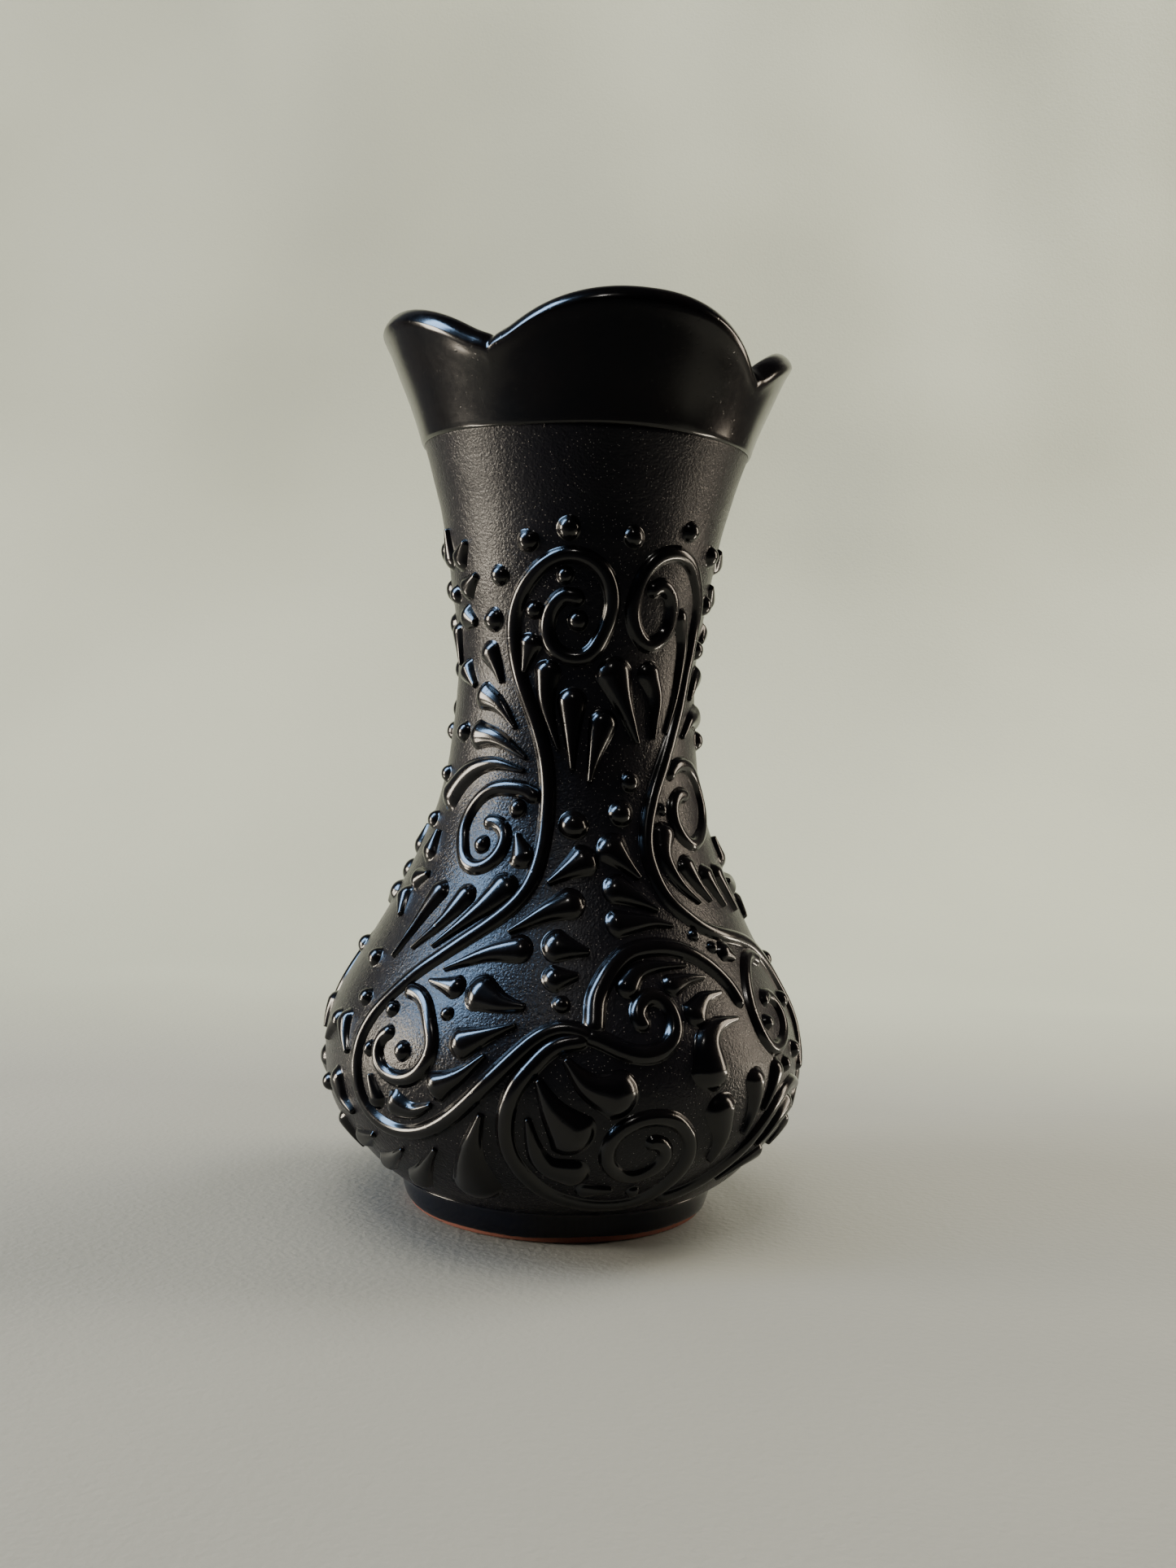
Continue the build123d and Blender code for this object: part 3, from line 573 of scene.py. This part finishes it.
def make_coat(material):
    """The matte skin: the thrown wall's outside, from the crease over the foot up under the band."""
    shells = Shells()
    heights = np.concatenate([np.linspace(FOOT_TOP, 16, 18)[:-1], np.linspace(16, BAND_Z + 0.6, 128)])
    sections = []
    for angle in np.arange(0, 360, 1.2):
        face = on_wall(angle, heights, 0.0)
        inside = on_wall(angle, heights[::-6], -0.3)
        sections.append(np.concatenate([face, inside]))
    shells.ring(np.array(sections))
    shells.piece("matte_coat", material, "matte_black", "black_coat")


def make_lining(material):
    """The glossy inside, with the potter's spiral throwing grooves, down to a dished floor."""
    shells = Shells()
    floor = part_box("inner_glaze")[0].z / MM
    heights = np.linspace(floor + FLOOR_RISE, LINING_TOP - 0.3, 120)
    deep = wall_thickness(heights)
    bend = np.linspace(0, pi / 2, 14)[:-1]
    rise = FLOOR_RISE - 0.7
    sections = []
    for angle in np.arange(0, 360, 1.5):
        groove = 0.16 * np.sin(2 * pi * (heights / 6.5 - angle / 360))
        wall = on_wall(angle, heights, -(deep + 0.45 + groove))
        behind = on_wall(angle, heights[::-5], -(deep[::-5] + 0.03))
        bowl = dish(angle, wall[0], floor + 0.5, rise, bend)
        under = dish(angle, wall[0], floor + 0.1, rise, bend[::-3])
        sections.append(np.concatenate([bowl, wall, behind, under]))
    shells.ring(np.array(sections)[::-1])
    shells.piece("glossy_lining", material, "gloss_black", "inner_glaze")


def make_foot_glaze(material):
    """The foot's glossy skin, which stops in an uneven line above the bare red edge."""
    shells = Shells()
    sections = []
    rise = np.array([0, 0.03, 0.08, 0.16, 0.3, 0.5, 0.7, 0.85, 0.94, 1.0])
    lift = np.array([-0.42, -0.12, 0.02, 0.07, 0.05, 0.0, -0.05, -0.02, 0.15, 0.4])
    behind = [9, 5, 0]
    for angle in np.arange(0, 360, 1.0):
        line = 1.25 + 0.30 * sin(radians(3 * angle + 20)) + 0.16 * sin(radians(8 * angle))
        line += RANDOM.normal(0, 0.03)
        height = line + (FOOT_TOP + 0.1 - line) * rise
        radius = FOOT_BOTTOM_RADIUS + (FOOT_TOP_RADIUS - FOOT_BOTTOM_RADIUS) * height / FOOT_TOP + lift
        outer = outward(angle) * radius[:, None] + UP * height[:, None]
        inner = outward(angle) * (radius[behind] - 0.7)[:, None] + UP * height[behind][:, None]
        sections.append(np.concatenate([outer, inner]))
    shells.ring(np.array(sections))
    shells.piece("glossy_foot", material, "foot_gloss", "foot_glaze")


# ---- materials ----------------------------------------------------------------------------------
def new_material(name, color, rough):
    material = bpy.data.materials.new(name)
    material.use_nodes = True
    nodes, links = material.node_tree.nodes, material.node_tree.links
    shader = nodes["Principled BSDF"]
    shader.inputs["Base Color"].default_value = (*color, 1)
    shader.inputs["Roughness"].default_value = rough
    place = nodes.new("ShaderNodeTexCoord")
    return material, nodes, links, shader, place.outputs["Object"]


def add_noise(nodes, links, place, size, detail=2.0, rough=0.5):
    """Noise whose grains are about size metres across."""
    noise = nodes.new("ShaderNodeTexNoise")
    noise.inputs["Scale"].default_value = 1 / size
    noise.inputs["Detail"].default_value = detail
    noise.inputs["Roughness"].default_value = rough
    links.new(place, noise.inputs["Vector"])
    return noise.outputs["Fac"]


def add_range(nodes, links, value, low, high, to_low, to_high):
    """A value from low to high mapped to to_low to to_high, and held there past both ends."""
    change = nodes.new("ShaderNodeMapRange")
    change.clamp = True
    for socket, number in (("From Min", low), ("From Max", high), ("To Min", to_low), ("To Max", to_high)):
        change.inputs[socket].default_value = number
    links.new(value, change.inputs["Value"])
    return change.outputs["Result"]


def add_mix(nodes, links, factor, low, high):
    """A colour between low and high, each a colour or another node's output."""
    mix = nodes.new("ShaderNodeMix")
    mix.data_type = "RGBA"
    links.new(factor, mix.inputs["Factor"])
    for socket, color in ((mix.inputs[6], low), (mix.inputs[7], high)):
        if isinstance(color, tuple):
            socket.default_value = (*color, 1)
        else:
            links.new(color, socket)
    return mix.outputs[2]


def add_bump(nodes, links, shader, height, distance, strength, before=None):
    bump = nodes.new("ShaderNodeBump")
    bump.inputs["Distance"].default_value = distance
    bump.inputs["Strength"].default_value = strength
    links.new(height, bump.inputs["Height"])
    if before is not None:
        links.new(before, bump.inputs["Normal"])
    links.new(bump.outputs["Normal"], shader.inputs["Normal"])
    return bump.outputs["Normal"]


def matte_black():
    """Satin black skin: orange-peel grain, slow patches of sheen and tiny bright specks."""
    material, nodes, links, shader, place = new_material("matte_black", (0.004, 0.004, 0.005), 0.3)
    flecks = nodes.new("ShaderNodeTexVoronoi")
    flecks.inputs["Scale"].default_value = 1450
    links.new(place, flecks.inputs["Vector"])
    spark = add_range(nodes, links, flecks.outputs["Distance"], 0.12, 0.05, 0.0, 1.0)
    patch = add_noise(nodes, links, place, 0.018, 3.0)
    ground = add_mix(nodes, links, patch, (0.0038, 0.0038, 0.0062), (0.0070, 0.0066, 0.0092))
    links.new(add_mix(nodes, links, spark, ground, (0.55, 0.52, 0.50)), shader.inputs["Base Color"])
    links.new(add_range(nodes, links, patch, 0.3, 0.7, 0.25, 0.33), shader.inputs["Roughness"])
    grain = add_noise(nodes, links, place, 0.00055, 2.0, 0.6)
    peel = add_noise(nodes, links, place, 0.0013, 1.0)
    first = add_bump(nodes, links, shader, peel, 0.00014, 0.6)
    add_bump(nodes, links, shader, grain, 0.00014, 1.0, first)
    shader.inputs["Specular IOR Level"].default_value = 0.22
    return material


def gloss(name, color, warm, rough, wave):
    """Glossy slip or glaze, a little uneven in colour, in polish and in its surface."""
    material, nodes, links, shader, place = new_material(name, color, rough)
    shader.inputs["Specular IOR Level"].default_value = 0.34
    patch = add_noise(nodes, links, place, 0.011, 3.0)
    tone = add_mix(nodes, links, add_range(nodes, links, patch, 0.35, 0.7, 0, 1), color, warm)
    links.new(tone, shader.inputs["Base Color"])
    fine = add_noise(nodes, links, place, 0.0016, 2.0)
    links.new(add_range(nodes, links, fine, 0.3, 0.7, rough * 0.9, rough * 1.15), shader.inputs["Roughness"])
    slow = add_noise(nodes, links, place, wave, 1.0)
    first = add_bump(nodes, links, shader, slow, 0.00030, 0.22)
    pits = add_noise(nodes, links, place, 0.0009, 1.0)
    add_bump(nodes, links, shader, add_range(nodes, links, pits, 0.2, 0.34, 0, 1), 0.00004, 0.5, first)
    return material


def red_clay():
    """Bare fired clay: dusty red, patchy, with darker grog."""
    material, nodes, links, shader, place = new_material("red_clay", (0.30, 0.10, 0.05), 0.85)
    patch = add_noise(nodes, links, place, 0.006, 4.0)
    body = add_mix(nodes, links, patch, (0.11, 0.032, 0.020), (0.21, 0.066, 0.038))
    grog = add_noise(nodes, links, place, 0.0006, 2.0)
    grains = add_range(nodes, links, grog, 0.62, 0.72, 0, 1)
    links.new(add_mix(nodes, links, grains, body, (0.10, 0.035, 0.022)), shader.inputs["Base Color"])
    links.new(add_range(nodes, links, patch, 0.3, 0.7, 0.75, 0.95), shader.inputs["Roughness"])
    add_bump(nodes, links, shader, grog, 0.00015, 0.8)
    return material


# ---- the pot ------------------------------------------------------------------------------------
def make_relief(material):
    """Every bead of slip, a closed shell, in one piece for each CAD node."""
    for side, turn in PANELS.items():
        for name, (start_width, end_width, route) in VINES.items():
            shells = Shells()
            lay_line(shells, start_width, end_width, route, turn)
            shells.piece("slip_" + side + "_" + name, material, "relief_gloss", side + "_" + name)
        for tier in LEAVES:
            shells = Shells()
            for width, route in LEAVES[tier]:
                lay_leaf(shells, width, route, turn)
            name = side + "_" + tier + "_leaves"
            shells.piece("slip_" + name, material, "relief_gloss", name)
            shells = Shells()
            for angle, height, radius in DOTS[tier]:
                lay_dot(shells, angle, height, radius, turn)
            name = side + "_" + tier + "_dots"
            shells.piece("slip_" + name, material, "relief_gloss", name)


clay = red_clay()
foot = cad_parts["foot_ring"]
foot.data.materials.clear()
foot.data.materials.append(clay)

make_clay(clay)
black_gloss = gloss("gloss_black", (0.0010, 0.0010, 0.0015), (0.0025, 0.0018, 0.0018), 0.17, 0.012)
make_coat(matte_black())
make_lip(black_gloss)
make_lining(black_gloss)
make_foot_glaze(gloss("foot_gloss", (0.0018, 0.0028, 0.008), (0.003, 0.003, 0.005), 0.16, 0.010))
make_relief(gloss("relief_gloss", (0.0015, 0.0015, 0.0024), (0.003, 0.0025, 0.0030), 0.17, 0.006))


# ---- stage, light and camera --------------------------------------------------------------------
SWEEP_START = 0.34        # metres behind the pot where the cloth starts to rise
SWEEP_RADIUS = 0.30
SWEEP_HALF_WIDTH = 1.6
SWEEP_FRONT = -1.6
SWEEP_TOP = 1.5


# The gloss mirrors the cloth fully up to the first value along each axis, and not past the second: there the
# cloth is painted dark, painted shade for an unlit room
PAINTED_DARK_EDGES = [("Y", -0.185, -0.245), ("X", -0.46, -0.60), ("X", 0.46, 0.60), ("Z", 0.62, 0.80)]


def fold(x, z):
    """Soft slanting folds of the hanging cloth, none where it lies."""
    hang = min(1.0, max(0.0, (z - 0.02) / 0.30))
    wide = 0.013 * sin(11 * (x + 0.8 * z) + 0.6)
    return hang * (wide + 0.006 * sin(23 * x - 12 * z + 2.1) + 0.004 * sin(41 * x + 9 * z))


def make_sweep():
    """A pale cloth that lies under the pot and rises behind it in one curve."""
    profile = [(SWEEP_FRONT, 0.0), (-0.4, 0.0), (0.0, 0.0), (SWEEP_START, 0.0)]
    for turn in np.linspace(0, pi / 2, 24)[1:]:
        profile.append((SWEEP_START + SWEEP_RADIUS * sin(turn), SWEEP_RADIUS * (1 - cos(turn))))
    profile += [(SWEEP_START + SWEEP_RADIUS, z) for z in np.linspace(SWEEP_RADIUS, SWEEP_TOP, 30)[1:]]
    across = np.linspace(-SWEEP_HALF_WIDTH, SWEEP_HALF_WIDTH, 161)
    points = [(x, y + fold(x, z), z - 0.0002) for y, z in profile for x in across]
    count = len(across)
    faces = [(row * count + i, row * count + i + 1, (row + 1) * count + i + 1, (row + 1) * count + i)
             for row in range(len(profile) - 1) for i in range(count - 1)]
    mesh = bpy.data.meshes.new("sweep")
    mesh.from_pydata(points, [], faces)
    mesh.polygons.foreach_set("use_smooth", [True] * len(mesh.polygons))
    mesh.materials.append(cloth())
    sweep = bpy.data.objects.new("sweep", mesh)
    bpy.context.collection.objects.link(sweep)


def cloth():
    """Fine pale weave. The glossy pot mirrors only the cloth close to it; beyond, the cloth is painted dark
    for every ray but the camera's, a painted dark room in the gloss and in the bounce light.
    """
    material, nodes, links, shader, place = new_material("cloth", (0.5, 0.5, 0.5), 0.9)
    split = nodes.new("ShaderNodeSeparateXYZ")
    links.new(place, split.inputs["Vector"])
    back = add_range(nodes, links, split.outputs["Y"], 0.10, 0.30, 0, 1)
    # Painted light and shade: soft lighter and darker patches in the cloth's colour stand for the light and
    # shade of its folds.
    fold_light_and_shade = add_noise(nodes, links, place, 0.22, 2.0)
    lying = add_mix(nodes, links, fold_light_and_shade, (0.198, 0.205, 0.196), (0.243, 0.251, 0.238))
    hanging = add_mix(nodes, links, fold_light_and_shade, (0.300, 0.326, 0.286), (0.384, 0.414, 0.362))
    pale = add_mix(nodes, links, back, lying, hanging)
    # Painted shade: every ray but the camera's sees the cloth far from the pot painted near black, standing
    # for an unlit room.
    painted_dark_room = (0.03, 0.03, 0.03)
    mirrored_with_painted_dark = pale
    for axis, clear, gone in PAINTED_DARK_EDGES:
        kept = add_range(nodes, links, split.outputs[axis], gone, clear, 0, 1)
        mirrored_with_painted_dark = add_mix(nodes, links, kept, painted_dark_room, mirrored_with_painted_dark)
    direct = nodes.new("ShaderNodeLightPath").outputs["Is Camera Ray"]
    links.new(add_mix(nodes, links, direct, mirrored_with_painted_dark, pale), shader.inputs["Base Color"])
    weave = add_noise(nodes, links, place, 0.0016, 2.0)
    ripple = add_noise(nodes, links, place, 0.13, 1.0)
    soft = add_bump(nodes, links, shader, ripple, 0.012, 0.6)
    add_bump(nodes, links, shader, weave, 0.0004, 0.6, soft)
    return material


def add_panel(name, at, aim, size, power, color):
    """A soft rectangular light, aimed at a point."""
    light = bpy.data.lights.new(name, "AREA")
    light.shape = "RECTANGLE"
    light.size, light.size_y = size
    light.energy = power
    light.color = color
    panel = bpy.data.objects.new(name, light)
    bpy.context.collection.objects.link(panel)
    panel.location = at
    panel.rotation_euler = (Vector(aim) - Vector(at)).to_track_quat("-Z", "Y").to_euler()
    return panel


ROOM_LIGHT = 0.03         # the dark room that lights the pot and shows in its gloss
ROOM_SEEN = 0.50          # the pale room that the camera sees past the cloth
# Low strips of sunlit table beside the pot, which shine up at it: name, place, size and power
FLOOR_PATCHES = [
    ("left_patch", (-0.31, -0.01, 0.004), (0.24, 0.045), 1.3),
    ("right_patch", (0.29, 0.035, 0.004), (0.22, 0.025), 0.8)]
# Soft light on the cloth that leaves no mark in the gloss: name, place, size and power
FILLS = [("overhead", (-0.1, 0.1, 1.30), 1.2, 26), ("behind", (0.75, 0.42, 0.85), 0.5, 15)]


def make_light():
    """Low sun from a window on the left, cool sky over it, and a dim warm wall on the right."""
    world = bpy.data.worlds.new("room")
    world.use_nodes = True
    nodes, links = world.node_tree.nodes, world.node_tree.links
    nodes["Background"].inputs["Color"].default_value = (0.80, 0.81, 0.80, 1)
    direct = nodes.new("ShaderNodeLightPath").outputs["Is Camera Ray"]
    strength = add_range(nodes, links, direct, 0, 1, ROOM_LIGHT, ROOM_SEEN)
    links.new(strength, nodes["Background"].inputs["Strength"])
    bpy.context.scene.world = world
    pot = (0, 0, 0.11)
    add_panel("window", (-1.30, -0.10, 0.24), pot, (0.42, 0.50), 31, (1.0, 0.89, 0.72))
    sky = add_panel("sky", (-1.00, -0.22, 1.05), pot, (0.46, 1.00), 66, (0.40, 0.64, 1.0))
    sky.visible_diffuse = False
    add_panel("lamp", (-0.10, -0.95, 1.25), pot, (0.10, 0.10), 2.2, (1.0, 0.95, 0.88))
    add_panel("far_wall", (1.2, 0.25, 0.36), pot, (0.26, 0.9), 11, (1.0, 0.85, 0.66))
    for name, at, size, power in FLOOR_PATCHES:
        patch = add_panel(name, at, (at[0], at[1] + 0.001, 1), size, power, (1.0, 0.88, 0.70))
        patch.visible_camera = False
    for name, at, size, power in FILLS:
        fill = add_panel(name, at, (0.0, 0.15, 0.0), (size, size), power, (1.0, 0.93, 0.77))
        fill.visible_glossy = False


# The camera stands 385 mm in front of the pot's axis, tipped and rolled a little, as a hand holds it.
CAMERA_AT = (0.0, -0.3851, 0.118)
CAMERA_PITCH = radians(-2.47)
CAMERA_YAW = radians(0.56)
CAMERA_ROLL = radians(2.40)
CAMERA_LENS = 36.43


def make_camera():
    flat = Vector((sin(CAMERA_YAW), cos(CAMERA_YAW), 0))
    ahead = flat * cos(CAMERA_PITCH) + Vector((0, 0, sin(CAMERA_PITCH)))
    level = Vector((cos(CAMERA_YAW), -sin(CAMERA_YAW), 0))
    above = level.cross(ahead)
    right = level * cos(CAMERA_ROLL) + above * sin(CAMERA_ROLL)
    up = above * cos(CAMERA_ROLL) - level * sin(CAMERA_ROLL)
    data = bpy.data.cameras.new("camera")
    data.lens = CAMERA_LENS
    data.clip_start = 0.01
    camera = bpy.data.objects.new("camera", data)
    bpy.context.collection.objects.link(camera)
    turn = Matrix((right, up, -ahead)).transposed()
    camera.matrix_world = Matrix.Translation(CAMERA_AT) @ turn.to_4x4()
    bpy.context.scene.camera = camera


make_sweep()
make_light()
make_camera()
